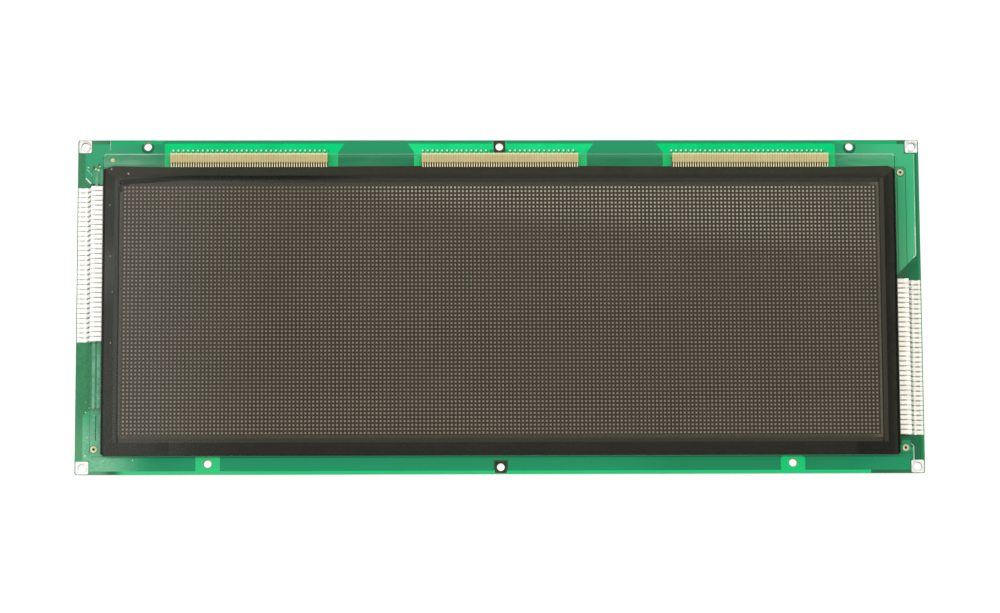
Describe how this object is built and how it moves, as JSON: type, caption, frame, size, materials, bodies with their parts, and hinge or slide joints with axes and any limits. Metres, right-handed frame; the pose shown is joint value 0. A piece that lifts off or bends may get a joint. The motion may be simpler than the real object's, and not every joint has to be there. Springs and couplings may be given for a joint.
{
  "type": "dot matrix display",
  "caption": "Flat gas-plasma dot matrix display module: a glass panel with edge-clip leads standing off a green driver board that has screw holes round its edge.",
  "frame": {"origin": "centre of the module's bounding box at its base, level with the ends of the tallest components on the rear, on which it lies with its display face up", "axes": "+X along the long side, to the right as the picture is seen; +Y up the picture; +Z out of the display face"},
  "size_m": [0.4394, 0.1754, 0.0297],
  "materials": {
    "board": "green solder mask over glass-fibre laminate",
    "masked_copper": "copper under green solder mask",
    "solder": "tinned",
    "bare_land": "dull, oxidised",
    "gold_plate": "gold plated",
    "clear_glass": "clear, polished",
    "dark_print": "matt printed dielectric",
    "cathode": "fired nickel print",
    "seal": "fired glass frit",
    "black_print": "matt black print",
    "foam": "closed-cell foam",
    "brass_lead": "dull, tinned in part",
    "tinned_lead": "bright tinned",
    "chip_black": "moulded epoxy",
    "can_sleeve": "dark blue sleeve on an aluminium can",
    "seal_rubber": "moulded",
    "header_black": "moulded nylon",
    "header_white": "moulded nylon",
    "ceramic_tan": "fired",
    "resistor_black": "glazed"
  },
  "bodies": {
    "root": {"circuit_board": "board", "front_copper": "masked_copper", "corner_lands": "solder", "middle_lands": "bare_land", "test_eyelets": "gold_plate", "tinned_points": "solder", "row_lands_left": "solder", "row_lands_right": "solder", "rear_glass": "clear_glass", "front_glass": "clear_glass", "dark_ground": "dark_print", "cathode_rows": "cathode", "dot_ribs": "dark_print", "seal_frame": "seal", "black_border": "black_print", "exhaust_tip": "clear_glass", "foam_pad_1": "foam", "foam_pad_2": "foam", "foam_pad_3": "foam", "foam_pad_4": "foam", "column_leads_left": "brass_lead", "column_leads_centre": "brass_lead", "column_leads_right": "brass_lead", "row_leads_left": "tinned_lead", "row_leads_right": "tinned_lead", "column_driver_1": "chip_black", "column_driver_2": "chip_black", "column_driver_3": "chip_black", "column_driver_4": "chip_black", "column_driver_5": "chip_black", "column_driver_6": "chip_black", "row_driver_left": "chip_black", "row_driver_right": "chip_black", "buffer_chip_1": "chip_black", "buffer_chip_2": "chip_black", "buffer_chip_3": "chip_black", "buffer_chip_4": "chip_black", "reservoir_capacitor_1": "can_sleeve", "reservoir_capacitor_2": "can_sleeve", "reservoir_capacitor_3": "can_sleeve", "reservoir_capacitor_4": "can_sleeve", "rubber_seal_1": "seal_rubber", "rubber_seal_2": "seal_rubber", "rubber_seal_3": "seal_rubber", "rubber_seal_4": "seal_rubber", "capacitor_wires": "solder", "data_header": "header_black", "data_pins": "gold_plate", "power_header": "header_white", "power_pins": "solder", "chip_capacitors": "ceramic_tan", "chip_resistors": "resistor_black", "chip_ends": "solder"}
  },
  "joints": []
}
